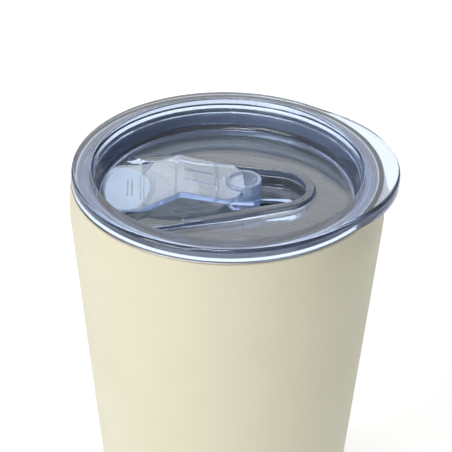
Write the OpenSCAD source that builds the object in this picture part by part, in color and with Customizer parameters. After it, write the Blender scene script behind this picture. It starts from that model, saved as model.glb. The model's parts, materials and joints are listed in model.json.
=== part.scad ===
// Insulated tumbler with a clear push-in lid and a slide-open drinking hole.
// Frame: origin at the centre of the underside, +Z up, +X towards the lid's lift tab.

/* [Tumbler body] */
// Outer diameter at the mouth
mouth_d = 85.2; // [71:0.1:103]
// Outer diameter at the foot of the shell
base_d = 67.4; // [57:0.5:80]
// Height of the steel rim above the table
body_h = 171.4; // [140:0.5:210]
// Height of the shell's rounded shoulder below the mouth
shoulder_h = 12; // [8:0.5:20]
// How far the shoulder draws the mouth in from the straight side
shoulder_in = 1.4; // [0.8:0.1:1.8]
// Thickness of the coated outer shell
shell_t = 0.6; // [0.5:0.1:0.9]
// Thickness of the inner liner's sheet
liner_t = 0.5; // [0.4:0.1:0.8]
// Vacuum gap between shell and liner
vacuum_gap = 2.5; // [2:0.1:3.2]
// Height of the inside bottom of the cup
cup_floor = 12; // [11:0.5:20]

/* [Base] */
// Height of the shell's lower edge above the table
foot_clear = 0.5; // [0.3:0.1:0.8]
// Thickness of the silicone foot pad
pad_t = 2; // [1.5:0.1:3]
// Width of the steel disc left bare around the pad
pad_margin = 3; // [2:0.5:6]
// Thickness of the steel cover disc
disc_t = 0.5; // [0.4:0.1:0.8]
// Thickness of the pressed outer bottom
bottom_t = 0.6; // [0.5:0.1:0.9]
// Diameter of the getter pellet
getter_d = 8; // [6:0.5:10]
// Height of the getter pellet
getter_h = 2; // [1.5:0.1:2.5]

/* [Lid] */
// Thickness of the lid's flange
flange_t = 3.6; // [3:0.1:4.5]
// Step from the mouth's outside in to the flange's lower edge
flange_inset = 0.1; // [0:0.1:0.6]
// How much narrower the flange is at its top edge
flange_draft = 0.1; // [0:0.1:0.6]
// Width of the flange's flat top
flange_w = 5.5; // [4.5:0.1:7]
// How far the lift tab stands out from the flange
tab_out = 4.6; // [3:0.1:7]
// Radius of the lift tab's outer curve
tab_r = 35; // [30:0.5:36]
// Thickness of the dish's side wall
plug_wall = 1.8; // [1.6:0.1:2.2]
// Depth of the dish below the flange's top
dish_depth = 8.9; // [8.5:0.1:11]
// Thickness of the dish's floor
dish_floor_t = 1.6; // [1.4:0.1:2]
// Depth of the skirt below the flange's top
skirt_depth = 13.4; // [12.6:0.1:16]

/* [Slider track] */
// Height of the bead around the track
bead_h = 1; // [0.6:0.1:1.4]
// Depth of the pocket below the dish's floor
pocket_depth = 4.5; // [4:0.1:6]
// Thickness of the pocket's wall and floor
pocket_wall = 1.4; // [1.2:0.1:1.8]
// Radius of the pocket's round end
pocket_end_r = 8.3; // [7.5:0.1:9.5]
// Distance from the dish's edge to the pocket's round end
pocket_end_gap = 15.2; // [14:0.1:17]
// Length of the drinking hole along the track
sip_l = 7; // [5:0.5:8]
// Width of the drinking hole across the track
sip_w = 19; // [12:0.5:20]
// Width of the slot that the slider's foot runs in
slot_w = 4.4; // [3.6:0.1:5]

/* [Slider] */
// How far the slider moves to open the drinking hole
travel = 12; // [8:0.5:12.5]
// Thickness of the slider's cover plate
plate_t = 1; // [0.8:0.1:1.2]
// Length of the slider's cover plate
plate_l = 15.3; // [12.7:0.1:16]
// Width of the slider's cover plate
plate_w = 23.2; // [22.4:0.1:25]
// Thickness of the thumb arch
arch_t = 1.7; // [1.4:0.1:2]
// Width of the thumb arch at its ridge
arch_w = 19.8; // [16:0.1:20.5]
// Height of the arch's ridge above the dish's floor
ridge_h = 5.9; // [5:0.1:6.5]
// Diameter of the round knob
knob_d = 10; // [9:0.1:11]
// Height of the knob above the dish's floor
knob_h = 3.7; // [3:0.1:4.5]
// Diameter of the hollow in the knob
knob_bore = 7.4; // [6:0.1:8]
// Running clearance around the slider
slide_gap = 0.3; // [0.2:0.05:0.4]
// Thickness of the slider's seal pad
seal_t = 0.7; // [0.5:0.1:0.9]

/* [Lid gasket] */
// Height of the gasket's groove
groove_h = 3.6; // [3:0.1:4]
// Depth of the gasket's groove
groove_d = 0.9; // [0.6:0.1:1]
// Clearance between the gasket and its groove or the liner
gasket_gap = 0.1; // [0.05:0.05:0.2]

/* [Hidden] */
$fn = 128;
eps = 0.01;
arc_step = 6;

// Shell and liner, as radii at a height z
mouth_r = mouth_d / 2;
base_r = base_d / 2;
side_slope = (mouth_r + shoulder_in - base_r) / body_h;
function side_r(z) = base_r + side_slope * z;
function shell_out(z) = side_r(z) - shoulder_in * pow(max(0, 1 - (body_h - z) / shoulder_h), 2);
function shell_in(z) = shell_out(z) - shell_t;
function liner_out(z) = side_r(z) - shell_t - vacuum_gap;
function liner_in(z) = liner_out(z) - liner_t;
function arc(cx, cz, r, a0, a1, n = 12) =
    [for (i = [0:n]) let (a = a0 + (a1 - a0) * i / n) [cx + r * cos(a), cz + r * sin(a)]];

// Rim and cup
rim_t = 0.5;
rim_z = body_h;
rim_under = rim_z - rim_t;
cup_fillet = 7;

// Bottom stack, from the table up
disc_z = pad_t;
panel_z = disc_z + disc_t + 0.9;
panel_top = panel_z + bottom_t;
skirt_in = shell_in(foot_clear) - bottom_t;
disc_r = skirt_in - 0.15;
pad_r = disc_r - pad_margin;
bead_in_r = skirt_in * 0.7;
bead_w = 3;
dimple_r = 7;
dimple_h = 1.2;
exhaust_r = 0.8;
plug_r = 2.4;
getter_x = skirt_in * 0.45;
clip_t = 0.4;
clip_w = 5;
foil_t = 0.1;
foil_gap = 0.1;
foil_low = cup_floor + cup_fillet + 1;
foil_high = rim_z - 22;

// Lid, with heights measured up from the table
lid_top = rim_z + flange_t;
flange_r = mouth_r - flange_inset;
flange_top_r = flange_r - flange_draft;
dish_r = flange_top_r - flange_w;
dish_low_r = dish_r - 1.5;
dish_fillet = 1.5;
floor_z = lid_top - dish_depth;
floor_under = floor_z - dish_floor_t;
skirt_z = lid_top - skirt_depth;
skirt_r = dish_r + plug_wall;
skirt_t = 1.8;
edge_r = 1;
groove_top = rim_z - 1.3;
groove_low = groove_top - groove_h;
tab_x = flange_top_r + tab_out - tab_r;

// Track: round end, middle and wide end of its outline, and how much wider its bead is at each
end_x = dish_r - pocket_end_gap - pocket_end_r;
wide_x = 13.4 - dish_low_r;
mid_x = end_x - 0.463 * (end_x - wide_x);
track = [[end_x, pocket_end_r], [mid_x, pocket_end_r + 3.9], [wide_x, pocket_end_r + 6.1]];
bead_side = [2.5, 3.4, 5.2];
pocket_z = floor_z - pocket_depth;
pocket_under = pocket_z - pocket_wall;

// Slider, closed
knob_r = knob_d / 2;
knob_x = end_x + pocket_end_r - slide_gap - knob_r - travel;
ramp_x = knob_x - knob_r - 0.4;
ramp_l = 12.5;
plate_r = dish_low_r - 1.6;
plate_end_x = plate_l - plate_r;
seal_low = floor_z + 0.05;
plate_z = seal_low + seal_t;
plate_top = plate_z + plate_t;
ridge_x = plate_end_x + 5.2;
ridge_z = floor_z + ridge_h;
saddle_x = knob_x - 5.9;
saddle_z = floor_z + 3;
knob_z = pocket_z + 0.2;
knob_top = floor_z + knob_h;
foot_r = slot_w / 2 - slide_gap;
foot_head_r = 3.3;
foot_head_z = pocket_under - 0.25;
foot_head_h = 1.3;
seal_grow = 1.5;
seal_r = sip_w / 2 + 2.5;
sip_half = (sip_w - sip_l) / 2;
sip_x = -sqrt(pow(plate_r - 0.5 - sip_l / 2 - seal_grow, 2) - pow(sip_half, 2));
seal_end_x = sip_x + sip_l / 2 + 3.5;

// Directions in which the tangents of circles [x, radius], narrow end first, touch them
function turns(c) = concat(
    [0], [for (i = [1:len(c) - 1]) acos((c[i][1] - c[i - 1][1]) / (c[i - 1][0] - c[i][0]))], [180]
);

// Upper half of the outline around those circles, from the narrow end to the wide end
function half_outline(c) = let (t = turns(c)) [
    for (i = [0:len(c) - 1])
        let (sweep = t[i + 1] - t[i], n = max(2, ceil(sweep / arc_step)))
            for (k = [0:n]) let (a = t[i] + sweep * k / n) [c[i][0] + c[i][1] * cos(a), c[i][1] * sin(a)]
];

// Flat outline around circles, joined in turn by their outer tangents
module tangent_chain(circles) {
    upper = half_outline(circles);
    lower = [for (i = [len(upper) - 2:-1:1]) [upper[i][0], -upper[i][1]]];
    polygon(concat(upper, lower));
}

// Outline of the track, grown outwards by one amount at each of its circles
module track_outline(grow = [0, 0, 0]) {
    tangent_chain([for (i = [0:2]) [track[i][0], track[i][1] + grow[i]]]);
}

// Drawn steel tube, straight-sided with a rounded shoulder, and coated outside
module outer_shell() {
    shoulder_low = rim_z - shoulder_h;
    levels = [for (i = [0:10]) shoulder_low + (rim_under - shoulder_low) * i / 10];
    color("#ece8cf") rotate_extrude() polygon(concat(
        [[shell_out(foot_clear) - 0.3, foot_clear], [shell_out(foot_clear + 0.8), foot_clear + 0.8]],
        [for (z = levels) [shell_out(z), z]],
        [for (i = [10:-1:0]) [shell_in(levels[i]), levels[i]]],
        [[shell_in(foot_clear), foot_clear]]
    ));
}

// Deep-drawn cup whose turned-out rim closes the vacuum gap
module inner_liner() {
    floor_r = liner_in(cup_floor + cup_fillet) - cup_fillet;
    outer_fillet = cup_fillet + liner_t;
    color("#c9c8c4") rotate_extrude() polygon(concat(
        arc(mouth_r - rim_t / 2, rim_z - rim_t / 2, rim_t / 2, -90, 90),
        arc(liner_in(rim_z) + 0.6, rim_z - 0.6, 0.6, 90, 180, 6),
        arc(floor_r, cup_floor + cup_fillet, cup_fillet, 0, -90),
        [[0, cup_floor], [0, cup_floor - liner_t]],
        arc(floor_r, cup_floor + cup_fillet, outer_fillet, -90, 0),
        [[liner_out(rim_under - 1), rim_under - 1], [liner_out(rim_under) + 1, rim_under]]
    ));
}

// Pressed bottom of the vacuum jacket, with a locating bead and a dimple for the exhaust hole
module outer_bottom() {
    bead_out_r = bead_in_r + bead_w;
    bead_low = disc_z + disc_t;
    color("#b9b9b6") difference() {
        rotate_extrude() polygon([
            [0, panel_z + dimple_h], [dimple_r - 1, panel_z + dimple_h], [dimple_r, panel_z],
            [bead_in_r, panel_z], [bead_in_r + 0.6, bead_low], [bead_out_r - 0.6, bead_low],
            [bead_out_r, panel_z], [skirt_in - 0.5, panel_z], [skirt_in, panel_z - 0.5],
            [skirt_in, foot_clear], [shell_in(foot_clear), foot_clear],
            [shell_in(panel_top - 0.5), panel_top - 0.5], [skirt_in, panel_top],
            [bead_out_r - 0.2, panel_top], [bead_out_r - 0.8, bead_low + bottom_t],
            [bead_in_r + 0.8, bead_low + bottom_t], [bead_in_r + 0.2, panel_top],
            [dimple_r + 0.3, panel_top], [dimple_r - 0.8, panel_top + dimple_h], [0, panel_top + dimple_h]
        ]);
        translate([0, 0, panel_z]) cylinder(r = exhaust_r, h = dimple_h + 2 * bottom_t + 1);
    }
}

// Copper foil wrapped round the liner inside the vacuum
module heat_foil() {
    color("#b87333") rotate_extrude() polygon([
        [liner_out(foil_low) + foil_gap, foil_low],
        [liner_out(foil_high) + foil_gap, foil_high],
        [liner_out(foil_high) + foil_gap + foil_t, foil_high],
        [liner_out(foil_low) + foil_gap + foil_t, foil_low]
    ]);
}

// Pellet that soaks up stray gas in the vacuum
module getter_pellet() {
    color("#5a5a5c") translate([getter_x, 0, panel_top]) cylinder(d = getter_d, h = getter_h);
}

// Strip spot-welded over the pellet
module getter_clip() {
    leg_in = getter_d / 2 + 0.1;
    leg_out = leg_in + clip_t;
    ear = 3;
    color("#a8a8a8") translate([getter_x, clip_w / 2, panel_top]) rotate([90, 0, 0])
        linear_extrude(clip_w) polygon([
            [-leg_out - ear, 0], [-leg_in, 0], [-leg_in, getter_h], [leg_in, getter_h],
            [leg_in, 0], [leg_out + ear, 0], [leg_out + ear, clip_t], [leg_out, clip_t],
            [leg_out, getter_h + clip_t], [-leg_out, getter_h + clip_t], [-leg_out, clip_t],
            [-leg_out - ear, clip_t]
        ]);
}

// Solder bead that closes the exhaust hole after pumping
module vacuum_plug() {
    color("#8d8f92") translate([0, 0, panel_z + dimple_h]) {
        translate([0, 0, -0.7]) cylinder(r1 = plug_r - 0.6, r2 = plug_r, h = 0.7);
        cylinder(r = exhaust_r, h = bottom_t);
    }
}

// Cover pressed into the foot over the solder bead
module base_disc() {
    color("#c2c2bf") translate([0, 0, disc_z]) cylinder(r = disc_r, h = disc_t);
}

// Non-slip pad that the tumbler stands on
module foot_pad() {
    color("#d9d5bf") rotate_extrude() polygon([
        [0, 0], [pad_r - 0.6, 0], [pad_r, 0.6], [pad_r, pad_t], [0, pad_t]
    ]);
}

// Round part of the lid: flange, dish wall, gasket groove, skirt and floor
module lid_round() {
    groove_r = skirt_r - groove_d;
    rotate_extrude() polygon(concat(
        [[0, floor_under], [skirt_r - skirt_t, floor_under], [skirt_r - skirt_t, skirt_z]],
        [[skirt_r - 0.5, skirt_z], [skirt_r, skirt_z + 0.5]],
        [[skirt_r, groove_low], [groove_r, groove_low], [groove_r, groove_top], [skirt_r, groove_top]],
        [[skirt_r, rim_z], [flange_r, rim_z]],
        arc(flange_top_r - edge_r, lid_top - edge_r, edge_r, 15, 90, 5),
        [[dish_r + 0.4, lid_top], [dish_r, lid_top - 0.4]],
        arc(dish_low_r - dish_fillet, floor_z + dish_fillet, dish_fillet, 0, -90, 6),
        [[0, floor_z]]
    ));
}

// Lift tab, a wider arc joined to the flange by its tangents
module lift_tab() {
    difference() {
        union() {
            translate([0, 0, rim_z]) linear_extrude(flange_t - edge_r)
                tangent_chain([[tab_x, tab_r], [0, flange_top_r]]);
            translate([0, 0, lid_top - edge_r]) linear_extrude(edge_r - 0.3)
                tangent_chain([[tab_x, tab_r - 0.4], [0, flange_top_r - 0.4]]);
        }
        translate([0, 0, rim_z - 1]) cylinder(r = flange_top_r - edge_r, h = flange_t + 2);
    }
}

// Clear moulding with the pocket and bead that guide the slider
module lid_body() {
    pocket_out = [for (i = [0:2]) pocket_wall];
    color("#c8d4e4", 0.35) difference() {
        union() {
            lid_round();
            lift_tab();
            intersection() {
                union() {
                    translate([0, 0, floor_z - eps]) linear_extrude(bead_h + eps) track_outline(bead_side);
                    translate([0, 0, pocket_under]) linear_extrude(floor_z - pocket_under)
                        track_outline(pocket_out);
                }
                cylinder(r = dish_low_r + 0.3, h = lid_top);
                ramp_cut(pocket_wall);
            }
        }
        difference() {
            translate([0, 0, pocket_z]) linear_extrude(lid_top) track_outline();
            translate([0, 0, pocket_z - lid_top]) difference() {
                cylinder(r = 2 * mouth_r, h = 2 * lid_top);
                translate([0, 0, -1]) cylinder(r = dish_low_r - dish_fillet - 0.1, h = 2 * lid_top + 2);
            }
            below_ramp();
        }
        translate([sip_x, 0, floor_under - 1]) linear_extrude(dish_floor_t + 2) sip_outline();
        translate([0, 0, pocket_under - 1]) linear_extrude(pocket_wall + 2) slot_outline();
    }
}

// Everything above the pocket's sloping underside
module ramp_cut(wall) {
    rotate([90, 0, 0]) translate([0, 0, -mouth_r]) linear_extrude(2 * mouth_r) polygon([
        [mouth_r, pocket_z - wall], [ramp_x, pocket_z - wall],
        [ramp_x - ramp_l, floor_z - wall], [-mouth_r, floor_z - wall],
        [-mouth_r, lid_top + 1], [mouth_r, lid_top + 1]
    ]);
}

// Floor of the pocket: flat under the knob, then a ramp up to the dish's floor
module below_ramp() {
    rotate([90, 0, 0]) translate([0, 0, -mouth_r]) linear_extrude(2 * mouth_r) polygon([
        [mouth_r, pocket_z], [ramp_x, pocket_z], [ramp_x - ramp_l, floor_z], [-mouth_r, floor_z],
        [-mouth_r, pocket_z - 10], [mouth_r, pocket_z - 10]
    ]);
}

// Drinking hole, a short slot across the track with round ends
module sip_outline() {
    for (s = [-1, 1]) translate([0, s * sip_half]) circle(sip_l / 2);
    square([sip_l, 2 * sip_half], center = true);
}

// Slot that the slider's foot runs in
module slot_outline() {
    for (x = [knob_x, knob_x + travel]) translate([x, 0]) circle(slot_w / 2);
    translate([knob_x, -slot_w / 2]) square([travel, slot_w]);
}

// Silicone ring with two lips that grip the liner
module lid_gasket() {
    base_in = skirt_r - groove_d + gasket_gap;
    low = groove_low + gasket_gap;
    high = groove_top - gasket_gap;
    lip_t = 0.6;
    lip_rise = 0.5;
    mid = (low + high) / 2;
    color("#dfe6ea", 0.6) rotate_extrude() polygon([
        [base_in, low], [skirt_r, low],
        [liner_in(low) - gasket_gap, low + lip_rise],
        [liner_in(low) - gasket_gap, low + lip_rise + lip_t],
        [skirt_r + 0.1, mid - 0.2], [skirt_r + 0.1, mid + 0.2],
        [liner_in(mid) - gasket_gap, mid + lip_rise],
        [liner_in(mid) - gasket_gap, mid + lip_rise + lip_t],
        [skirt_r + 0.1, high], [base_in, high]
    ]);
}

// Plan of the cover plate: a shallow curve inside, and clear of the dish and the track, closed and open
module plate_outline() {
    intersection() {
        circle(plate_r);
        square([2 * plate_r, plate_w], center = true);
        translate([plate_end_x - plate_l - 1.4, 0]) circle(plate_l + 1.4);
        track_outline([for (i = [0:2]) -slide_gap]);
        translate([-travel, 0]) track_outline([for (i = [0:2]) -slide_gap]);
    }
}

// Plan of the thumb arch, widest at the cover plate
module arch_outline() {
    half = [
        [plate_end_x - 5.5, arch_w / 2 + 1.7], [ridge_x, arch_w / 2], [saddle_x, arch_w / 2 - 0.4],
        [knob_x - 2, arch_w / 2 - 1.3], [knob_x, knob_r]
    ];
    for (s = [-1, 1]) scale([1, s]) polygon(concat([[knob_x, 0], [plate_end_x - 5.5, 0]], half));
}

// Clear slider: cover plate, thumb arch, hollow knob and a foot that snaps under the slot
module slider() {
    color("#cfdcec", 0.45) difference() {
        union() {
            translate([0, 0, plate_z]) linear_extrude(plate_t) plate_outline();
            intersection() {
                translate([0, 0, plate_z]) linear_extrude(lid_top) arch_outline();
                rotate([90, 0, 0]) translate([0, 0, -mouth_r]) linear_extrude(2 * mouth_r) arch_side();
            }
            translate([knob_x, 0, knob_z]) cylinder(r = knob_r, h = knob_top - knob_z);
            translate([knob_x, 0, foot_head_z - eps])
                cylinder(r = foot_r, h = knob_z - foot_head_z + 2 * eps);
            translate([knob_x, 0, foot_head_z - foot_head_h])
                cylinder(r1 = foot_r, r2 = foot_head_r, h = foot_head_h);
        }
        translate([knob_x, 0, knob_top - 5]) cylinder(d = knob_bore, h = 6);
    }
}

// Side view of the arch: up from the plate, over the ridge and down to the knob
module arch_side() {
    under = arch_t * 1.15;
    polygon([
        [plate_end_x - 5.5, plate_z + eps], [plate_end_x - 5.5, plate_top], [ridge_x - 0.8, ridge_z],
        [ridge_x + 0.8, ridge_z], [saddle_x, saddle_z], [knob_x, saddle_z + 0.2],
        [knob_x, saddle_z + 0.2 - arch_t], [saddle_x, saddle_z - arch_t], [ridge_x + 0.4, ridge_z - under],
        [ridge_x - 0.4, ridge_z - under], [plate_end_x - 3, plate_z + eps]
    ]);
}

// Silicone pad under the cover plate, whose outer edge follows the dish and whose inner edge is rounded
module slider_seal() {
    color("#e6edf2", 0.8) translate([0, 0, seal_low]) linear_extrude(seal_t) intersection() {
        circle(plate_r - 0.4);
        track_outline([for (i = [0:2]) -slide_gap]);
        translate([seal_end_x - seal_r, 0]) circle(seal_r);
        square([2 * plate_r, sip_w + 2 * seal_grow], center = true);
    }
}

outer_shell();
inner_liner();
outer_bottom();
heat_foil();
getter_pellet();
getter_clip();
vacuum_plug();
base_disc();
foot_pad();
lid_body();
lid_gasket();
slider();
slider_seal();
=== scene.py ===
"""Insulated tumbler with a clear push-in lid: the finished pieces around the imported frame."""
import json
import math

import bmesh
import bpy
import numpy as np
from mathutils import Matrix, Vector


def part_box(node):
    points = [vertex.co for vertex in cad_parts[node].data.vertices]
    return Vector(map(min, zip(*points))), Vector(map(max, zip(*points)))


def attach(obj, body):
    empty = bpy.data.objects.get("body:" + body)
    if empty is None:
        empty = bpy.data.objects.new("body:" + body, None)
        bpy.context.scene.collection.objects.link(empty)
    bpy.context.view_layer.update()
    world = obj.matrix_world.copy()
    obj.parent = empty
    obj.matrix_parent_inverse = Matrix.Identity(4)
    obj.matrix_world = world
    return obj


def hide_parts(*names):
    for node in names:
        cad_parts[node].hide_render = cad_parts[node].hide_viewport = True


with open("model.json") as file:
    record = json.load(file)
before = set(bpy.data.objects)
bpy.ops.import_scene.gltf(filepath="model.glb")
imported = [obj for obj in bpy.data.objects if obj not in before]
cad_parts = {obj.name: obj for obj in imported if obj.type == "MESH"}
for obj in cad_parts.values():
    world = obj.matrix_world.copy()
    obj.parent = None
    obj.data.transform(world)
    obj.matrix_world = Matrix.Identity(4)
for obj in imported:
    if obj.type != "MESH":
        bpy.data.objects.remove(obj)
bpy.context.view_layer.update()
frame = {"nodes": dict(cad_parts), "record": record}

# --- Sizes, in millimetres, taken from the frame where it shows them ---------------------------

MM = 0.001


def low(node):
    """Lowest corner of a node, in millimetres."""
    return np.array(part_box(node)[0]) / MM


def high(node):
    """Highest corner of a node, in millimetres."""
    return np.array(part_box(node)[1]) / MM


SIDES = 288
MOUTH_R = high("inner_liner")[0]
RIM_Z = high("inner_liner")[2]
FOOT_Z = low("outer_shell")[2]
FOOT_R = high("base_disc")[0] + 1.32
SHOULDER_H = 12.0
SHOULDER_IN = 1.4
SHELL_T = 0.6
LINER_T = 0.5
WALL = 3.6
RIM_T = 0.5
CUP_FLOOR = low("inner_liner")[2] + LINER_T
CUP_FILLET = 7.0
SLOPE = (MOUTH_R + SHOULDER_IN - FOOT_R) / RIM_Z

LID_TOP = high("lid_body")[2]
FLANGE_R = -low("lid_body")[0]
FLANGE_DRAFT = 0.1
FLANGE_W = 5.5
DISH_R = FLANGE_R - FLANGE_DRAFT - FLANGE_W
DISH_LOW_R = DISH_R - 1.5
DISH_FILLET = 1.5
DISH_FLOOR = LID_TOP - 8.9
FLOOR_T = 1.6
TAB_R = 35.0
TAB_X = high("lid_body")[0] - TAB_R
PLUG_R = DISH_R + 1.8
SKIRT_T = 1.8
SKIRT_Z = LID_TOP - 13.4
GROOVE_HIGH = RIM_Z - 1.3
GROOVE_LOW = GROOVE_HIGH - 3.6
GROOVE_R = PLUG_R - 0.9

POCKET_WALL = 1.4
POCKET_FLOOR = low("lid_body")[2] + POCKET_WALL
POCKET_R = 8.3
TRACK_END = DISH_R - 15.2 - POCKET_R
TRACK = np.array([
    [TRACK_END, POCKET_R], [TRACK_END - 16.4, POCKET_R + 3.9], [TRACK_END - 35.4, POCKET_R + 6.1],
])
BEAD_H = 1.0
BEAD_SIDE = np.array([2.5, 3.4, 5.2])

KNOB_R = 5.0
TRAVEL = frame["record"]["behaviour"]["joints"][2]["range_m"][1] / MM
KNOB_X = high("slider")[0] - KNOB_R
RAMP_X = KNOB_X - KNOB_R - 0.4
RAMP_L = 12.5
KNOB_TOP = DISH_FLOOR + 3.7
PLATE_R = -low("slider")[0]
PLATE_END = 15.3 - PLATE_R
PLATE_W = 23.2
PLATE_Z = high("slider_seal")[2]
PLATE_TOP = PLATE_Z + 1.0
RIDGE_X = PLATE_END + 5.2
RIDGE_Z = high("slider")[2]
SADDLE_X = KNOB_X - 5.9
SADDLE_Z = DISH_FLOOR + 3.0
ARCH_T = 1.7
ARCH_W = 19.8
RIBS = [(PLATE_END - at + side, half) for at, half in ((8.3, 4.2), (4.7, 6.8)) for side in (-0.6, 0.6)]
RIB_HALF = 0.17
RIB_GAP = 0.07
SIP_L = 7.0
SEAL_END = high("slider_seal")[0]
SIP_X = SEAL_END - SIP_L / 2 - 3.5
SIP_W = 19.0
SLOT_W = 4.4


# --- Meshes ------------------------------------------------------------------------------------


def blend(a, b, t):
    """Straight mix of a and b by t."""
    return a + (b - a) * t


def step(x, lo, hi):
    """Smooth climb from 0 at lo to 1 at hi, 3t squared minus 2t cubed."""
    t = np.clip((x - lo) / (hi - lo), 0, 1)
    return t * t * (3 - 2 * t)


def soft_min(a, b, width):
    """The smaller of two arrays, rounded over a width where they cross."""
    h = np.clip(0.5 + (b - a) / (2 * width), 0, 1)
    return blend(b, a, h) - width * h * (1 - h)


def softened(corners, steps=5, closed=True):
    """Profile through corners (r, z, radius), each replaced by a quadratic curve tangent to both sides."""
    c = np.array(corners, float)
    p, radius = c[:, :2], c[:, 2:]
    to_prev, to_next = np.roll(p, 1, 0) - p, np.roll(p, -1, 0) - p
    len_prev = np.linalg.norm(to_prev, axis=1, keepdims=True)
    len_next = np.linalg.norm(to_next, axis=1, keepdims=True)
    start = p + to_prev / len_prev * np.minimum(radius, 0.49 * len_prev)
    end = p + to_next / len_next * np.minimum(radius, 0.49 * len_next)
    if not closed:
        start[[0, -1]] = end[[0, -1]] = p[[0, -1]]
    k = np.linspace(0, 1, steps)[None, :, None]
    curve = (1 - k) ** 2 * start[:, None] + 2 * k * (1 - k) * p[:, None] + k * k * end[:, None]
    flat = curve.reshape(-1, 2)
    keep = np.r_[True, np.linalg.norm(np.diff(flat, axis=0), axis=1) > 1e-5]
    return flat[keep]


def merge(mesh):
    """Joins points that lie within a thousandth of a millimetre, and turns the faces outwards."""
    work = bmesh.new()
    work.from_mesh(mesh)
    bmesh.ops.remove_doubles(work, verts=work.verts, dist=1e-6)
    bmesh.ops.dissolve_degenerate(work, edges=work.edges, dist=1e-7)
    bmesh.ops.recalc_face_normals(work, faces=work.faces)
    work.to_mesh(mesh)
    work.free()


def skin(name, grid, loop=False, sharp=35):
    """Mesh through a grid of points in millimetres, closed the second way, and the first way too with loop.
    A row of equal points becomes a pole once doubles are merged. Edges sharper than an angle stay sharp."""
    rows, cols = grid.shape[:2]
    here = np.arange(rows * cols).reshape(rows, cols)
    up = np.roll(here, -1, 0)
    quads = np.stack([here, np.roll(here, -1, 1), np.roll(up, -1, 1), up], -1)
    if not loop:
        quads = quads[:-1]
    mesh = bpy.data.meshes.new(name)
    mesh.from_pydata((grid.reshape(-1, 3) * MM).tolist(), [], quads.reshape(-1, 4).tolist())
    merge(mesh)
    piece = bpy.data.objects.new(name, mesh)
    bpy.context.scene.collection.objects.link(piece)
    smooth(piece, sharp)
    return piece


def smooth(piece, sharp):
    """Smooth shading, broken at edges that bend more than an angle in degrees."""
    piece.data.shade_smooth()
    piece.data.set_sharp_from_angle(angle=math.radians(sharp))


def turned(name, profile, sides=SIDES, loop=True, centre=(0, 0)):
    """Surface of revolution: each profile point (r, z) is carried round the vertical line through centre."""
    angle = np.linspace(0, 2 * math.pi, sides, endpoint=False)
    r, z = profile[:, :1], profile[:, 1:]
    grid = np.stack([centre[0] + r * np.cos(angle), centre[1] + r * np.sin(angle), z + 0 * angle], -1)
    return skin(name, grid, loop)


def combine(piece, others, operation):
    """Cuts other closed pieces out of a piece, or joins them to it, and drops them."""
    for other in others:
        change = piece.modifiers.new("change", "BOOLEAN")
        change.object = other
        change.operation = operation
        change.solver = "EXACT"
    graph = bpy.context.evaluated_depsgraph_get()
    mesh = bpy.data.meshes.new_from_object(piece.evaluated_get(graph))
    piece.modifiers.clear()
    merge(mesh)
    piece.data = mesh
    for other in others:
        bpy.data.objects.remove(other)
    smooth(piece, 35)
    return piece


# --- Outlines in plan --------------------------------------------------------------------------

# Every ring of the lid lies on rays from this point, which is inside the track and the flange alike
RAY_X = -6.0
RAY = np.linspace(0, 2 * math.pi, SIDES, endpoint=False)


def around(circles, from_x=RAY_X):
    """Distance along each ray to the outline round circles [x, radius] and their outer tangents.
    The outline is swept densely as arcs and its distance read off at each ray's direction."""
    c = np.atleast_2d(np.array(circles, float))
    turn = [0] + [math.acos((b[1] - a[1]) / (a[0] - b[0])) for a, b in zip(c[:-1], c[1:])] + [math.pi]
    arcs = [
        np.stack([x + r * np.cos(t), r * np.sin(t)], -1)
        for (x, r), t in zip(c, [np.linspace(a, b, 400) for a, b in zip(turn[:-1], turn[1:])])
    ]
    dense = [np.linspace(p[-1], q[0], 400) for p, q in zip(arcs[:-1], arcs[1:])]
    line = np.concatenate([part for pair in zip(arcs, dense + [arcs[-1][-1:]]) for part in pair])
    angle = np.arctan2(line[:, 1], line[:, 0] - from_x)
    reach = np.hypot(line[:, 0] - from_x, line[:, 1])
    folded = np.abs((RAY + math.pi) % (2 * math.pi) - math.pi)
    return np.interp(folded, angle, reach)


def track(grow=0.0):
    """Distance to the track's outline, grown by one amount or by one for each of its circles."""
    circles = TRACK.copy()
    circles[:, 1] += grow
    return around(circles)


def ring(reach, z, from_x=RAY_X):
    """Closed ring at a distance along the rays, at a height."""
    return np.stack([from_x + reach * np.cos(RAY), reach * np.sin(RAY), z + 0 * RAY], -1)


def circle(r):
    """Distance to a circle round the lid's axis."""
    return around([[0.0, r]])


def flange(r):
    """Distance to the flange's outline, a circle joined to the lift tab's wider arc."""
    return around([[TAB_X, TAB_R + r - FLANGE_R], [0.0, r]])


# --- Lid ---------------------------------------------------------------------------------------


def pocket_height(reach):
    """Height of the pocket's floor along the rays: flat under the knob, then a ramp up to the dish."""
    x = RAY_X + reach * np.cos(RAY)
    depth = DISH_FLOOR - POCKET_FLOOR
    return DISH_FLOOR - depth * np.clip((x - RAMP_X + RAMP_L) / RAMP_L, 0, 1)


def corner(offset_from, offset_to, z_from, z_to, bulge, steps=5):
    """Steps (offset, height) of a quarter turn between two levels. Bulge 1 leaves level, and 0 upright."""
    a = np.linspace(0, math.pi / 2, steps)
    along, rise = (np.sin(a), 1 - np.cos(a)) if bulge else (1 - np.cos(a), np.sin(a))
    return [(blend(offset_from, offset_to, s), blend(z_from, z_to, t)) for s, t in zip(along, rise)]


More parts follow.
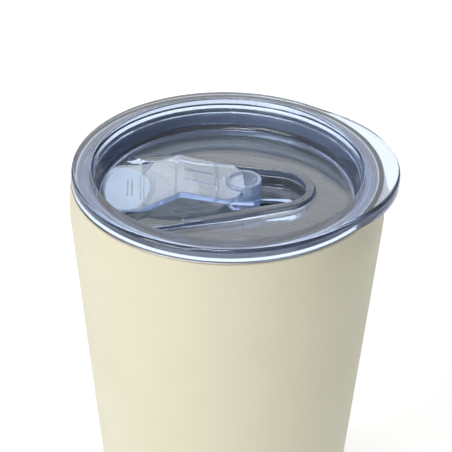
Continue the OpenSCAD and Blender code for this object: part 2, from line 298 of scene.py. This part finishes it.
def lid_rings():
    """Rings of the lid's whole skin, from the pocket's floor out over bead, dish and flange, and back below.
    At the wide end, where the track runs into the dish's wall, its rings are held just inside the wall."""
    floor_edge = circle(DISH_LOW_R - DISH_FILLET)
    inside = track()
    room = step(floor_edge - track(BEAD_SIDE), -1.5, 1.0)
    bead_z = DISH_FLOOR + BEAD_H * room

    def held(reach, margin):
        """Distance kept a margin inside the dish's floor."""
        return soft_min(reach, floor_edge - margin, 0.4)

    rows = []
    base = held(inside - 0.7, 0.9)
    for share in np.linspace(0, 1, 12):
        rows.append(ring(base * share, pocket_height(base * share)))
    for offset, lift in corner(-0.7, 0, 0, 0.7, 1):
        reach = held(track(offset), 0.82 - offset * 0.1)
        height = pocket_height(reach)
        rows.append(ring(reach, height + lift / 0.7 * np.minimum(0.7, (bead_z - height) * 0.4)))
    wall = held(inside, 0.81)
    foot = pocket_height(wall)
    for share in (0.5, 0.8):
        rows.append(ring(wall, blend(foot, bead_z - 0.4 * room, share)))
    for offset, z in corner(0, 0.4, -0.4, 0, 0):
        rows.append(ring(held(track(offset), 0.8 - offset * 0.1), bead_z + z * room))
    for offset, z in corner(-0.5, 0, 0, -0.5, 1):
        rows.append(ring(held(track(BEAD_SIDE + offset), 0.5 - offset * 0.1), bead_z + z * room))
    for offset, z in corner(0, 0.5, 0.5, 0, 0):
        rows.append(ring(held(track(BEAD_SIDE + offset), 0.4 - offset * 0.2), DISH_FLOOR + z * room))
    bead_foot = held(track(BEAD_SIDE + 0.5), 0.3)
    for share in np.linspace(0.08, 1, 10):
        rows.append(ring(blend(bead_foot, floor_edge, share), DISH_FLOOR))

    for offset, z in corner(-DISH_FILLET, 0, 0, DISH_FILLET, 1, 8)[1:]:
        rows.append(ring(circle(DISH_LOW_R + offset), DISH_FLOOR + z))
    top_round = 0.45
    for share in np.linspace(0.2, 1, 5):
        z = blend(DISH_FLOOR + DISH_FILLET, LID_TOP - top_round, share)
        rows.append(ring(circle(blend(DISH_LOW_R, DISH_R, share)), z))
    for offset, z in corner(0, top_round, -top_round, 0, 0)[1:]:
        rows.append(ring(circle(DISH_R + offset), LID_TOP + z))

    top_r = FLANGE_R - FLANGE_DRAFT
    edge = 1.1
    for share in (0.3, 0.6):
        rows.append(ring(blend(circle(DISH_R + top_round), flange(top_r - edge), share), LID_TOP))
    for offset, z in corner(-edge, 0, 0, -edge, 1, 9):
        rows.append(ring(flange(top_r + offset), LID_TOP + z))
    low_round = 0.4
    for share in (0.5, 1):
        z = blend(LID_TOP - edge, RIM_Z + low_round, share)
        rows.append(ring(flange(blend(top_r, FLANGE_R, share)), z))
    for offset, z in corner(0, -low_round, low_round, 0, 0)[1:]:
        rows.append(ring(flange(FLANGE_R + offset), RIM_Z + z))

    outline = [
        [PLUG_R + 1.5, RIM_Z, 0], [PLUG_R, RIM_Z, 0.4], [PLUG_R, GROOVE_HIGH, 0.15],
        [GROOVE_R, GROOVE_HIGH, 0.15], [GROOVE_R, GROOVE_LOW, 0.15], [PLUG_R, GROOVE_LOW, 0.15],
        [PLUG_R, SKIRT_Z, 0.7], [PLUG_R - SKIRT_T, SKIRT_Z, 0.7],
        [PLUG_R - SKIRT_T, DISH_FLOOR - FLOOR_T, 0.8], [PLUG_R - SKIRT_T - 2, DISH_FLOOR - FLOOR_T, 0],
    ]
    rows += [ring(circle(r), z) for r, z in softened(outline, closed=False)]

    under = DISH_FLOOR - FLOOR_T
    skirt_in = circle(PLUG_R - SKIRT_T - 2)
    outside = soft_min(track(POCKET_WALL), circle(DISH_LOW_R - 2), 0.4)
    for share in np.linspace(0.15, 1, 8):
        rows.append(ring(blend(skirt_in, outside + 0.4, share), under))
    drop = np.minimum(pocket_height(outside) - POCKET_WALL, under - 0.02)
    rows.append(ring(outside + 0.1, under - 0.1 * np.minimum(1, under - drop)))
    for share in (0.15, 0.5, 1):
        rows.append(ring(outside, blend(under, np.minimum(drop + 0.8, under - 0.01), share)))
    for offset, z in corner(0, -0.8, 0.8, 0, 0)[1:]:
        reach = outside + offset
        level = np.minimum(pocket_height(reach) - POCKET_WALL, under - 0.02)
        rows.append(ring(reach, np.minimum(level + z, under - 0.015)))
    for share in np.linspace(0.9, 0, 10):
        reach = (outside - 0.8) * share
        rows.append(ring(reach, np.minimum(pocket_height(reach) - POCKET_WALL, under - 0.02)))
    return np.stack(rows)


def bar(name, x0, x1, half, z0, z1, cols=64):
    """Upright cutter with round ends across or along the track, from its outline in plan."""
    angle = np.linspace(0, 2 * math.pi, cols, endpoint=False)
    r = min(half, (x1 - x0) / 2)
    cx, cy = (x1 - x0) / 2 - r, half - r
    plan = np.stack([
        (x0 + x1) / 2 + np.sign(np.cos(angle)) * cx + r * np.cos(angle),
        np.sign(np.sin(angle)) * cy + r * np.sin(angle),
    ], -1)
    middle = np.array([(x0 + x1) / 2, 0.0])
    rows = [
        np.concatenate([blend(middle, plan, share), np.full((cols, 1), z)], 1)
        for share, z in ((0, z0), (1, z0), (1, z1), (0, z1))
    ]
    return skin(name, np.stack(rows))


def make_lid():
    """Clear moulding with its drinking hole and the slot for the slider's foot."""
    lid = skin("lid", lid_rings())
    sip = bar("sip", SIP_X - SIP_L / 2, SIP_X + SIP_L / 2, SIP_W / 2, DISH_FLOOR - 4, DISH_FLOOR + 2)
    half = SLOT_W / 2
    slot = bar("slot", KNOB_X - half, KNOB_X + TRAVEL + half, half, POCKET_FLOOR - 4, POCKET_FLOOR + 2)
    return combine(lid, [sip, slot], "DIFFERENCE")


def make_gasket():
    """Silicone ring: a base in the groove and two rounded lips that reach the liner."""
    def liner(z):
        """Radius just inside the liner at a height."""
        return side(z) - WALL - 0.1
    base, lo, hi = GROOVE_R + 0.1, GROOVE_LOW + 0.1, GROOVE_HIGH - 0.1
    mid = (lo + hi) / 2
    profile = softened([
        [base, lo, 0.15], [PLUG_R, lo, 0.2], [liner(lo), lo + 0.5, 0.25], [liner(lo), lo + 1.1, 0.25],
        [PLUG_R + 0.1, mid - 0.2, 0.2], [PLUG_R + 0.1, mid + 0.2, 0.2], [liner(mid), mid + 0.5, 0.25],
        [liner(mid), mid + 1.1, 0.25], [PLUG_R + 0.1, hi, 0.2], [base, hi, 0.15],
    ])
    return turned("gasket", profile)


# --- Slider ------------------------------------------------------------------------------------


def slab(name, reach, from_x, z0, z1, edge):
    """Flat plate with rounded edges, from its outline as distances along rays from a point."""
    rows = [ring(reach * share, z0, from_x) for share in (0, 0.5, 0.85)]
    rows += [ring(reach + o, z0 + z, from_x) for o, z in corner(-edge, 0, 0, edge, 1)]
    rows += [ring(reach + o, z1 + z, from_x) for o, z in corner(0, -edge, -edge, 0, 0)]
    rows += [ring(reach * share, z1, from_x) for share in (0.85, 0.5, 0)]
    return skin(name, np.stack(rows))


def between(half):
    """Distance along each ray to the nearer of two lines along the slider, half a width from its middle."""
    return half / np.maximum(np.abs(np.sin(RAY)), 1e-3)


def make_plate():
    """Cover plate: the dish's curve outside, a shallow curve inside, straight sides and rounded corners."""
    middle = PLATE_END - 6.5
    inner = around([[PLATE_END - 16.7, 16.7]], middle)
    reach = soft_min(around([[0.0, PLATE_R]], middle), between(PLATE_W / 2), 0.8)
    reach = np.minimum(soft_min(reach, inner, 0.8), around(TRACK - [0, 0.3], middle))
    return slab("plate", reach, middle, PLATE_Z, PLATE_TOP, 0.25)


def make_arch():
    """Thumb arch: a rounded cross-section carried up from the plate, over the ridge and down to the knob.
    Its width narrows towards the knob. Two thin lines are raised along its slope and one across its foot."""
    along = np.array([
        [-1.0, PLATE_TOP - 0.9, ARCH_W / 2 + 1.6], [0.0, PLATE_TOP - 0.2, ARCH_W / 2 + 1.6],
        [0.9, RIDGE_Z - 0.55, ARCH_W / 2 + 0.2], [1.0, RIDGE_Z, ARCH_W / 2],
        [1.1, RIDGE_Z - 0.25, ARCH_W / 2 - 0.05], [2.0, SADDLE_Z + 0.1, ARCH_W / 2 - 0.4],
        [2.15, SADDLE_Z, ARCH_W / 2 - 0.5], [2.6, SADDLE_Z + 0.1, ARCH_W / 2 - 1.3],
        [3.0, SADDLE_Z + 0.2, KNOB_R - 0.6],
    ])
    t = np.sort(np.r_[np.linspace(-1, 3, 90), 1.12, 1.14, 1.83, 1.85, 1.89, 1.91])
    top = np.interp(t, along[:, 0], along[:, 1])
    half = np.interp(t, along[:, 0], along[:, 2])
    section = softened([[4, 0, 0.35], [-4, 0, 0.35], [-4, -ARCH_T, 0.35], [4, -ARCH_T, 0.35]], 7)
    lines = np.array([2.85, 2.75, 2.45, 2.35, -2.35, -2.45, -2.75, -2.85])
    side_of = np.insert(np.sign(section[:, 0]), 7, np.zeros(8))
    inset = np.insert(np.sign(section[:, 0]) * (4 - np.abs(section[:, 0])), 7, -lines)
    level = np.insert(section[:, 1], 7, np.zeros(8))
    lift = np.insert(np.zeros(len(section)), 7, [0, 1, 1, 0, 0, 1, 1, 0])
    on_top = (level == 0) * 1.0
    sloping = (t > 1.13) & (t < 1.9)
    crossing = (t > 1.84) & (t < 1.9)
    raised = 0.3 * np.maximum(sloping[:, None] * lift[None, :], crossing[:, None] * on_top[None, :])
    first = blend(PLATE_END - 5.6, RIDGE_X, np.clip(t, -0.4, 1))
    rest = np.interp(t, [1, 2, 3], [0, SADDLE_X - RIDGE_X, KNOB_X - RIDGE_X])
    x = (first + rest)[:, None] + 0 * level[None, :]
    thick = blend(1.0, 1.15, np.clip(1 - np.abs(t - 1), 0, 1))[:, None]
    across = half[:, None] * side_of[None, :] - inset[None, :]
    grid = np.stack([x, across, top[:, None] + thick * level[None, :] + raised], -1)
    grid[..., 2] = np.maximum(grid[..., 2], PLATE_Z + 0.4 + 0.3 * level[None, :] / ARCH_T)
    ends = [np.repeat(row.mean(0)[None, None], len(level), 1) for row in (grid[0], grid[-1])]
    return skin("arch", np.concatenate([ends[0], grid, ends[1]]))


def make_slider():
    """Clear slider: cover plate, thumb arch, hollow knob, ribs and the foot that snaps under the slot."""
    bottom = POCKET_FLOOR + 0.2
    knob = turned("knob", softened([
        [0, bottom, 0], [KNOB_R, bottom, 0.5], [KNOB_R, KNOB_TOP, 0.45], [3.9, KNOB_TOP, 0.3],
        [3.3, KNOB_TOP - 4.2, 0.8], [0, KNOB_TOP - 5, 0],
    ], closed=False), 96, False, (KNOB_X, 0))
    head = low("slider")[2]
    neck = POCKET_FLOOR - POCKET_WALL - 0.25
    foot = turned("foot", softened([
        [0, head, 0], [1.9, head, 0.3], [3.3, neck, 0.3], [1.9, neck, 0.2],
        [1.9, bottom + 0.5, 0.1], [0, bottom + 0.5, 0],
    ], closed=False), 64, False, (KNOB_X, 0))
    tip = low("slider_seal")[2] + 0.3
    ribs = [bar("rib", x - RIB_HALF, x + RIB_HALF, half, tip, PLATE_Z + 0.4) for x, half in RIBS]
    return combine(make_plate(), [make_arch(), knob, foot, *ribs], "UNION")


def make_seal():
    """Silicone pad under the cover plate: the dish's curve outside, a rounder one inside, straight sides.
    The plate's thin ribs stand in its slits and hold it."""
    r = SIP_W / 2 + 2.5
    reach = soft_min(around([[0.0, PLATE_R - 0.4]], SIP_X), around([[SEAL_END - r, r]], SIP_X), 0.8)
    reach = np.minimum(soft_min(reach, between(SIP_W / 2 + 1.5), 0.8), around(TRACK - [0, 0.3], SIP_X))
    pad = slab("seal", reach, SIP_X, low("slider_seal")[2], high("slider_seal")[2], 0.2)
    under, wide = low("slider_seal")[2] - 1, RIB_HALF + RIB_GAP
    slits = [bar("slit", x - wide, x + wide, half + 0.1, under, PLATE_Z + 1) for x, half in RIBS]
    return combine(pad, slits, "DIFFERENCE")


# --- Cup ---------------------------------------------------------------------------------------


def side(z):
    """Radius of the cup's straight outer side at a height, carried on past the shoulder."""
    return FOOT_R + SLOPE * z


def make_shell():
    """Coated outer tube: a rolled foot, a straight side, and a shoulder on a square law up to the mouth."""
    z = np.linspace(RIM_Z - SHOULDER_H, RIM_Z - RIM_T, 12)
    r = side(z) - SHOULDER_IN * (1 - (RIM_Z - z) / SHOULDER_H) ** 2
    foot = [[side(FOOT_Z) - SHELL_T, FOOT_Z, 0.2], [side(FOOT_Z), FOOT_Z, 0.9]]
    outside = [[a, b, 0.3] for a, b in zip(r, z)]
    inside = [[a - SHELL_T, b, 0.1] for a, b in zip(r[::-1], z[::-1])]
    return turned("shell", softened(foot + outside + inside, 5))


def make_liner():
    """Steel cup whose rim turns out to meet the shell."""
    def inner(z):
        """Radius of the cup's inner side at a height."""
        return side(z) - WALL
    top = RIM_Z - RIM_T
    return turned("liner", softened([
        [0, CUP_FLOOR, 0], [inner(CUP_FLOOR), CUP_FLOOR, CUP_FILLET], [inner(RIM_Z), RIM_Z, 0.7],
        [MOUTH_R, RIM_Z, 0.25], [MOUTH_R, top, 0.25], [inner(top) + LINER_T, top, 0.2],
        [inner(CUP_FLOOR) + LINER_T, CUP_FLOOR - LINER_T, CUP_FILLET], [0, CUP_FLOOR - LINER_T, 0],
    ], 9, False), loop=False)


def make_pad():
    """Silicone foot pad with a soft rim and shallow rings underneath."""
    r, top = high("foot_pad")[0], high("foot_pad")[2]
    return turned("pad", softened([
        [0, top, 0], [r, top, 0.1], [r, 0, 0.6], [r * 0.9, 0, 0.2], [r * 0.88, 0.35, 0.2],
        [r * 0.84, 0.35, 0.2], [r * 0.82, 0, 0.2], [0, 0, 0],
    ], closed=False), loop=False)


# --- Materials ---------------------------------------------------------------------------------


class Value:
    """A shader socket whose arithmetic adds Math nodes."""

    def __init__(self, tree, socket):
        self.tree, self.socket = tree, socket

    def maths(self, operation, *others):
        """Math node on this value and others, which may be sockets or numbers."""
        node = self.tree.nodes.new("ShaderNodeMath")
        node.operation = operation
        for slot, value in zip(node.inputs, (self, *others)):
            if isinstance(value, Value):
                self.tree.links.new(value.socket, slot)
            else:
                slot.default_value = value
        return Value(self.tree, node.outputs[0])

    def __add__(self, other):
        return self.maths("ADD", other)

    def __sub__(self, other):
        return self.maths("SUBTRACT", other)

    def __rsub__(self, other):
        return (self * -1) + other

    def __mul__(self, other):
        return self.maths("MULTIPLY", other)

    __radd__ = __add__
    __rmul__ = __mul__


class Material:
    """A node material, built a node at a time."""

    def __init__(self, name):
        self.material = bpy.data.materials.new(name)
        self.material.use_nodes = True
        self.tree = self.material.node_tree
        self.tree.nodes.clear()
        self.output = self.tree.nodes.new("ShaderNodeOutputMaterial")
        self.place = self.node("TexCoord")["Object"]

    def node(self, kind, settings=None, values=None):
        """Adds a shader node: settings are its own properties, values its inputs, by name or number.
        Returns its outputs by name."""
        made = self.tree.nodes.new("ShaderNode" + kind)
        for key, value in (settings or {}).items():
            setattr(made, key, value)
        for key, value in (values or {}).items():
            if isinstance(value, Value):
                self.tree.links.new(value.socket, made.inputs[key])
            else:
                made.inputs[key].default_value = value
        return {o.name: Value(self.tree, o) for o in made.outputs if o.enabled}

    def noise(self, scale, detail=3.0, place=None, roughness=0.5):
        """Noise from 0 to 1 at so many cells a metre."""
        values = {"Vector": place or self.place, "Scale": scale, "Detail": detail, "Roughness": roughness}
        return self.node("TexNoise", None, values)["Fac"]

    def spread(self, value, lo, hi, out_lo, out_hi):
        """Value mapped from one range to another, and held inside it."""
        values = {0: value, 1: lo, 2: hi, 3: out_lo, 4: out_hi}
        return self.node("MapRange", None, values)["Result"]

    def mixed(self, share, first, second):
        """Colour between two colours."""
        values = {0: share, 6: first, 7: second}
        made = self.tree.nodes.new("ShaderNodeMix")
        made.data_type = "RGBA"
        for key, value in values.items():
            if isinstance(value, Value):
                self.tree.links.new(value.socket, made.inputs[key])
            else:
                made.inputs[key].default_value = value
        return Value(self.tree, made.outputs[2])

    def bump(self, height, distance, strength=1.0):
        """Normal raised by a height from 0 to 1, at a distance in metres."""
        values = {"Height": height, "Distance": distance, "Strength": strength}
        return self.node("Bump", None, values)["Normal"]

    def surface(self, **values):
        """Principled shader on the output. Names use underscores for spaces."""
        inputs = {name.replace("_", " "): value for name, value in values.items()}
        shader = self.node("BsdfPrincipled", None, inputs)["BSDF"]
        self.tree.links.new(shader.socket, self.output.inputs["Surface"])
        return shader

    def round_place(self, height_scale, angle_scale):
        """Coordinates that run round the cup's axis: angle, height and radius, each with its own scale."""
        parts = self.node("SeparateXYZ", None, {0: self.place})
        angle = parts["Y"].maths("ARCTAN2", parts["X"])
        radius = (parts["X"] * parts["X"] + parts["Y"] * parts["Y"]).maths("SQRT")
        values = {0: angle * angle_scale, 1: parts["Z"] * height_scale, 2: radius * height_scale}
        return self.node("CombineXYZ", None, values)["Vector"]


def rgb(r, g, b):
    """Linear colour with full alpha."""
    return (r, g, b, 1.0)


def powder_coat():
    """Cream powder coat: fine orange-peel bumps, a faint mottle and specks of gloss."""
    m = Material("cream powder coat")
    peel = m.noise(1800.0, 2.0)
    mottle = m.noise(38.0, 3.0)
    colour = m.mixed(m.spread(mottle, 0.35, 0.65, 0, 1), rgb(0.80, 0.765, 0.575), rgb(0.825, 0.79, 0.60))
    m.surface(
        Base_Color=colour, Roughness=m.spread(peel, 0.3, 0.7, 0.46, 0.58), IOR=1.5,
        Normal=m.bump(peel, 0.00004, 0.5),
    )
    return m.material


def brushed(name, colour, rough, lines=4200.0, along=2.0):
    """Steel brushed round the cup's axis: fine lines that vary fast with height and slowly with angle."""
    m = Material(name)
    streak = m.noise(1.0, 4.0, m.round_place(lines, along), 0.7)
    cloud = m.noise(60.0, 2.0)
    dark = tuple(c * 0.82 for c in colour)
    tone = m.mixed(m.spread(streak + cloud * 0.4, 0.5, 0.9, 0, 1), rgb(*dark), rgb(*colour))
    m.surface(
        Base_Color=tone, Metallic=1.0, Roughness=m.spread(streak, 0.3, 0.7, rough - 0.06, rough + 0.08),
        Normal=m.bump(streak, 0.00001, 0.4),
    )
    return m.material


def clear_plastic(name, colour, haze_share, tint, density, ior=1.56):
    """Clear moulded plastic: it bends light, takes up a little red and green, and lets lamps through.
    A share of it is pale haze, and slow waves from moulding keep it from being perfect glass."""
    m = Material(name)
    wave = m.noise(90.0, 1.0)
    haze = m.noise(420.0, 3.0)
    glass = m.node("BsdfPrincipled", None, {
        "Base Color": rgb(*colour), "Transmission Weight": 1.0 - haze_share, "IOR": ior,
        "Roughness": m.spread(haze, 0.45, 0.75, 0.01, 0.05), "Normal": m.bump(wave, 0.0002, 0.35),
    })["BSDF"]
    through = m.node("BsdfTransparent", None, {"Color": rgb(0.62, 0.66, 0.74)})["BSDF"]
    lamp_ray = m.node("LightPath")["Is Shadow Ray"]
    both = m.node("MixShader", None, {0: lamp_ray, 1: glass, 2: through})["Shader"]
    m.tree.links.new(both.socket, m.output.inputs["Surface"])
    taken = m.node("VolumeAbsorption", None, {"Color": rgb(*tint), "Density": density})["Volume"]
    m.tree.links.new(taken.socket, m.output.inputs["Volume"])
    return m.material


def silicone(name, colour, see_through, rough=0.42):
    """Silicone: soft, slightly cloudy, with a dusty roughness."""
    m = Material(name)
    cloud = m.noise(160.0, 3.0)
    pale = tuple(min(1.0, c * 1.06) for c in colour)
    tone = m.mixed(m.spread(cloud, 0.3, 0.7, 0, 1), rgb(*colour), rgb(*pale))
    m.surface(
        Base_Color=tone, Roughness=m.spread(cloud, 0.3, 0.7, rough, rough + 0.12), IOR=1.43,
        Transmission_Weight=see_through, Subsurface_Weight=0.15, Subsurface_Scale=0.002,
        Normal=m.bump(m.noise(2500.0, 2.0), 0.00002, 0.4),
    )
    return m.material


def plain_metal(name, colour, rough, cells):
    """Dull metal for the hidden pieces, mottled and a little uneven."""
    m = Material(name)
    spots = m.noise(cells, 4.0)
    dark = tuple(c * 0.75 for c in colour)
    m.surface(
        Base_Color=m.mixed(m.spread(spots, 0.3, 0.7, 0, 1), rgb(*dark), rgb(*colour)), Metallic=1.0,
        Roughness=m.spread(spots, 0.3, 0.7, rough - 0.08, rough + 0.1), Normal=m.bump(spots, 0.00006, 0.5),
    )
    return m.material


def getter_powder():
    """Pressed grey metal powder."""
    m = Material("pressed getter powder")
    grain = m.noise(3200.0, 3.0)
    m.surface(
        Base_Color=m.mixed(grain, rgb(0.05, 0.05, 0.055), rgb(0.16, 0.16, 0.17)), Roughness=0.85,
        Normal=m.bump(grain, 0.00008, 0.8),
    )
    return m.material


# --- Putting it together -----------------------------------------------------------------------


def finish_piece(piece, body, node, material):
    """Gives a piece its material and its body, and hides the CAD node that it stands for."""
    piece.data.materials.clear()
    piece.data.materials.append(material)
    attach(piece, body)
    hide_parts(node)


def dress_node(node, material):
    """Gives a CAD node that stays its material."""
    for slot in frame["nodes"][node].material_slots:
        slot.material = material


def build_tumbler():
    """Every piece of the tumbler, body by body."""
    coat = powder_coat()
    steel = brushed("liner steel", (0.56, 0.53, 0.49), 0.26)
    foot = silicone("foot silicone", (0.62, 0.58, 0.43), 0.0, 0.55)
    lid = clear_plastic("clear lid plastic", (0.905, 0.95, 0.972), 0.05, (0.15, 0.42, 0.93), 60.0)
    gasket = silicone("gasket silicone", (0.42, 0.48, 0.60), 0.8)
    slider = clear_plastic("clear slider plastic", (0.86, 0.92, 0.97), 0.2, (0.3, 0.55, 0.97), 60.0)
    seal = silicone("seal silicone", (0.66, 0.74, 0.78), 0.3)
    finish_piece(make_shell(), "tumbler", "outer_shell", coat)
    finish_piece(make_liner(), "tumbler", "inner_liner", steel)
    finish_piece(make_pad(), "tumbler", "foot_pad", foot)
    finish_piece(make_lid(), "lid", "lid_body", lid)
    finish_piece(make_gasket(), "lid_seal", "lid_gasket", gasket)
    finish_piece(make_slider(), "slider", "slider", slider)
    finish_piece(make_seal(), "slider", "slider_seal", seal)
    dress_node("outer_bottom", brushed("base steel", (0.54, 0.54, 0.53), 0.38))
    dress_node("base_disc", brushed("disc steel", (0.62, 0.62, 0.61), 0.3))
    dress_node("heat_foil", plain_metal("copper foil", (0.80, 0.42, 0.26), 0.3, 220.0))
    dress_node("getter_clip", plain_metal("strip steel", (0.55, 0.55, 0.55), 0.35, 600.0))
    dress_node("vacuum_plug", plain_metal("solder", (0.46, 0.47, 0.49), 0.4, 900.0))
    dress_node("getter_pellet", getter_powder())


# --- Stage, lights and camera ------------------------------------------------------------------


def make_floor():
    """Large pale floor with the faintest unevenness."""
    m = Material("pale floor")
    m.surface(
        Base_Color=m.mixed(m.noise(3.0), rgb(0.90, 0.90, 0.90), rgb(0.92, 0.92, 0.92)), Roughness=0.9,
        Emission_Color=rgb(1, 1, 1), Emission_Strength=0.44,
    )
    half = 6.0
    corners = [[-half, -half, 0], [half, -half, 0], [half, half, 0], [-half, half, 0]]
    mesh = bpy.data.meshes.new("floor")
    mesh.from_pydata(corners, [], [[0, 1, 2, 3]])
    floor = bpy.data.objects.new("floor", mesh)
    floor.data.materials.append(m.material)
    bpy.context.scene.collection.objects.link(floor)


def aim(thing, target):
    """Turns a lamp or camera so that it looks at a point."""
    direction = Vector(target) - thing.location
    thing.rotation_euler = direction.to_track_quat("-Z", "Y").to_euler()


def softbox(name, azimuth, elevation, distance, size, power, target):
    """Square area lamp at a direction and distance from a point, which it looks at."""
    lamp = bpy.data.lights.new(name, "AREA")
    lamp.shape = "SQUARE"
    lamp.size = size
    lamp.energy = power
    holder = bpy.data.objects.new(name, lamp)
    az, el = math.radians(azimuth), math.radians(elevation)
    offset = Vector((math.sin(az) * math.cos(el), -math.cos(az) * math.cos(el), math.sin(el)))
    holder.location = Vector(target) + offset * distance
    bpy.context.scene.collection.objects.link(holder)
    aim(holder, target)


def light_stage():
    """A pale backdrop that gives little light, a key light at the upper left, lamps behind and above."""
    world = bpy.data.worlds.new("studio")
    world.use_nodes = True
    tree = world.node_tree
    background = tree.nodes["Background"]
    background.inputs["Color"].default_value = (0.97, 0.985, 1.0, 1.0)
    background.inputs["Strength"].default_value = 0.1
    backdrop = tree.nodes.new("ShaderNodeBackground")
    backdrop.inputs["Strength"].default_value = 0.8
    ray = tree.nodes.new("ShaderNodeLightPath")
    either = tree.nodes.new("ShaderNodeMixShader")
    tree.links.new(ray.outputs["Is Camera Ray"], either.inputs["Fac"])
    tree.links.new(background.outputs[0], either.inputs[1])
    tree.links.new(backdrop.outputs[0], either.inputs[2])
    tree.links.new(either.outputs[0], tree.nodes["World Output"].inputs["Surface"])
    bpy.context.scene.world = world
    middle = (0, 0, LID_TOP * MM * 0.7)
    softbox("key", -46, 34, 0.9, 0.5, 3.9, middle)
    softbox("back", 172, 36, 1.1, 1.3, 7.5, middle)
    softbox("top", -30, 78, 1.0, 0.24, 2.4, middle)
    settings = bpy.context.scene.view_settings
    settings.view_transform = "Standard"
    settings.exposure = 0.0


def place_camera():
    """Long lens looking down on the lid from the front, a little to the left of the slider's line."""
    turn, pitch, roll = math.radians(3.4), math.radians(33.47), math.radians(0.894)
    distance, across, above = 331.27, 0.24, 17.28
    right = np.array([math.cos(turn), -math.sin(turn), 0.0])
    ahead = np.array([math.sin(turn), math.cos(turn), 0.0])
    up = np.array([0.0, 0.0, 1.0])
    forward = ahead * math.cos(pitch) - up * math.sin(pitch)
    upward = ahead * math.sin(pitch) + up * math.cos(pitch)
    spot = np.array([0, 0, LID_TOP]) - forward * distance - right * across - upward * above
    lens = bpy.data.cameras.new("camera")
    lens.sensor_width = 36.0
    lens.lens = 97.15
    holder = bpy.data.objects.new("camera", lens)
    holder.location = spot * MM
    view = Vector(forward).to_track_quat("-Z", "Y").to_matrix().to_4x4()
    holder.rotation_euler = view.to_euler()
    holder.rotation_euler.rotate_axis("Z", roll)
    bpy.context.scene.collection.objects.link(holder)
    bpy.context.scene.camera = holder


build_tumbler()
make_floor()
light_stage()
place_camera()
